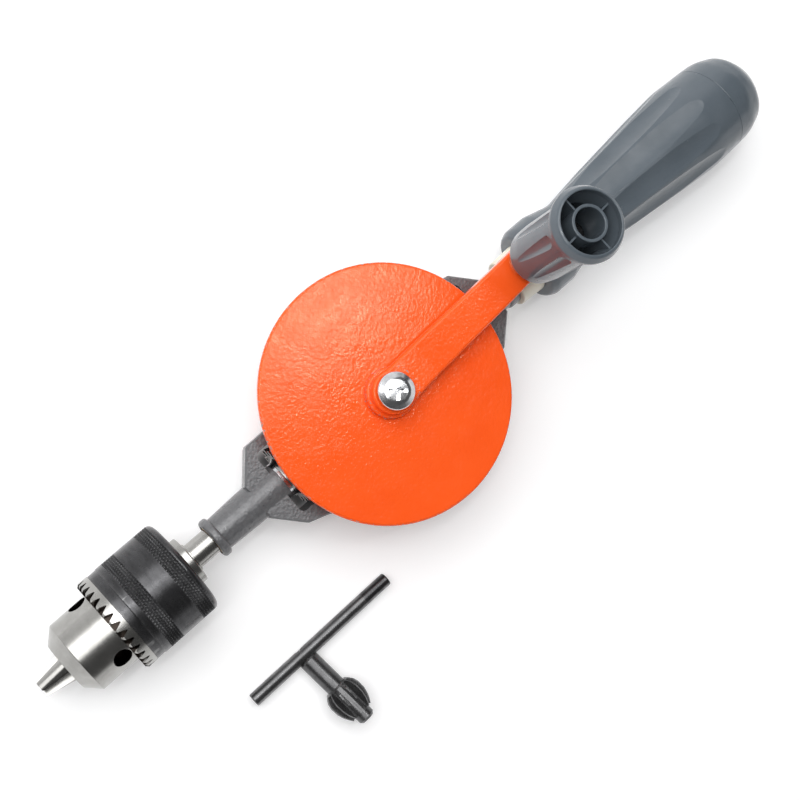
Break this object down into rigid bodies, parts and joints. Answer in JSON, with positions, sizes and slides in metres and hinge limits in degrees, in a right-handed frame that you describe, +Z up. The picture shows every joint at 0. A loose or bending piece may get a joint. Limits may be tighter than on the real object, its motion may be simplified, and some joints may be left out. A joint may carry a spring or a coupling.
{
  "type": "hand drill",
  "caption": "Crank-driven hand drill with a keyed jaw chuck, bevel gear wheel, offset crank knob, fluted hollow handle and loose chuck key, lying on its side.",
  "frame": {"origin": "centre of the flat pad under the drive wheel, on the surface the drill lies on", "axes": "+X along the spindle toward the chuck's nose, +Z up along the drive wheel's axis toward the crank, +Y toward the side-handle boss"},
  "size_m": [0.3253, 0.1241, 0.0864],
  "materials": {
    "frame_grey": "hammered dark grey enamel on cast iron",
    "orange_paint": "thick gloss orange enamel",
    "bright_steel": "turned satin steel",
    "zinc_plate": "bright zinc plate",
    "black_oxide": "black oxide on steel, satin",
    "bronze": "sintered bronze",
    "blue_grey_plastic": "glossy dark blue-grey moulding",
    "cream_plastic": "satin cream moulding"
  },
  "bodies": {
    "frame": {"main_frame": "frame_grey", "front_bush": "bronze", "rear_bush": "bronze", "pinion_washer": "zinc_plate", "axle_bush": "bronze", "wheel_washer": "zinc_plate", "axle_washer": "zinc_plate", "boss_plug": "zinc_plate", "idler_washer": "zinc_plate", "idler_clip": "zinc_plate", "handle_rod": "bright_steel", "handle_ferrule": "cream_plastic", "handle_washer": "zinc_plate", "handle_nut": "zinc_plate", "handle_grip": "blue_grey_plastic"},
    "wheel_and_crank": {"drive_wheel": "orange_paint", "wheel_axle": "bright_steel", "axle_clip": "zinc_plate", "crank_arm": "orange_paint", "screw_washer": "zinc_plate", "centre_screw": "zinc_plate", "knob_pin": "black_oxide", "knob_washer": "zinc_plate"},
    "spindle_and_chuck": {"spindle": "bright_steel", "drive_pinion": "bright_steel", "pinion_pin": "bright_steel", "chuck_body": "bright_steel"},
    "idler": {"idler_pinion": "bright_steel"},
    "knob": {"crank_knob": "blue_grey_plastic"},
    "sleeve_and_nut": {"chuck_sleeve": "black_oxide", "sleeve_ring": "bright_steel", "split_nut": "bright_steel"},
    "jaw_a": {"jaw_1": "bright_steel"},
    "jaw_b": {"jaw_2": "bright_steel"},
    "jaw_c": {"jaw_3": "bright_steel"},
    "end_cap": {"handle_cap": "blue_grey_plastic"},
    "key": {"chuck_key": "black_oxide", "chuck_key_bar": "black_oxide"}
  },
  "joints": [
    {"name": "crank_spin", "type": "hinge", "parent": "frame", "child": "wheel_and_crank", "pos_m": [0, 0, 0.0176], "axis": [0, 0, 1], "continuous": true},
    {"name": "spindle_spin", "type": "hinge", "parent": "frame", "child": "spindle_and_chuck", "pos_m": [0, 0, 0.0176], "axis": [1, 0, 0], "continuous": true},
    {"name": "idler_spin", "type": "hinge", "parent": "frame", "child": "idler", "pos_m": [0, 0, 0.0176], "axis": [1, 0, 0], "continuous": true},
    {"name": "knob_spin", "type": "hinge", "parent": "wheel_and_crank", "child": "knob", "pos_m": [-0.06569, -0.00465, 0.0636], "axis": [-0.0532, -0.0388, 0.9978], "continuous": true},
    {"name": "sleeve_turn", "type": "hinge", "parent": "spindle_and_chuck", "child": "sleeve_and_nut", "pos_m": [0.1, 0, 0.0176], "axis": [1, 0, 0], "range_deg": [-72, 3130]},
    {"name": "jaw_1_slide", "type": "slide", "parent": "spindle_and_chuck", "child": "jaw_a", "axis": [-0.9763, -0.074, 0.2034], "range_m": [-0.00041, 0.0174]},
    {"name": "jaw_2_slide", "type": "slide", "parent": "spindle_and_chuck", "child": "jaw_b", "axis": [-0.9763, 0.2132, -0.0376], "range_m": [-0.00041, 0.0174]},
    {"name": "jaw_3_slide", "type": "slide", "parent": "spindle_and_chuck", "child": "jaw_c", "axis": [-0.9763, -0.1391, -0.1658], "range_m": [-0.00041, 0.0174]},
    {"name": "cap_draw", "type": "slide", "parent": "frame", "child": "end_cap", "axis": [-1, 0, 0], "range_m": [0, 0.06]},
    {"name": "key_lift", "type": "slide", "parent": "frame", "child": "key", "axis": [0, 0, 1], "range_m": [0, 0.12]}
  ],
  "couplings": [
    {"joint": "spindle_spin", "follows": "crank_spin", "ratio": -4},
    {"joint": "idler_spin", "follows": "crank_spin", "ratio": 4},
    {"joint": "jaw_1_slide", "follows": "sleeve_turn", "m_per_rad": 0.00031831},
    {"joint": "jaw_2_slide", "follows": "sleeve_turn", "m_per_rad": 0.00031831},
    {"joint": "jaw_3_slide", "follows": "sleeve_turn", "m_per_rad": 0.00031831}
  ]
}
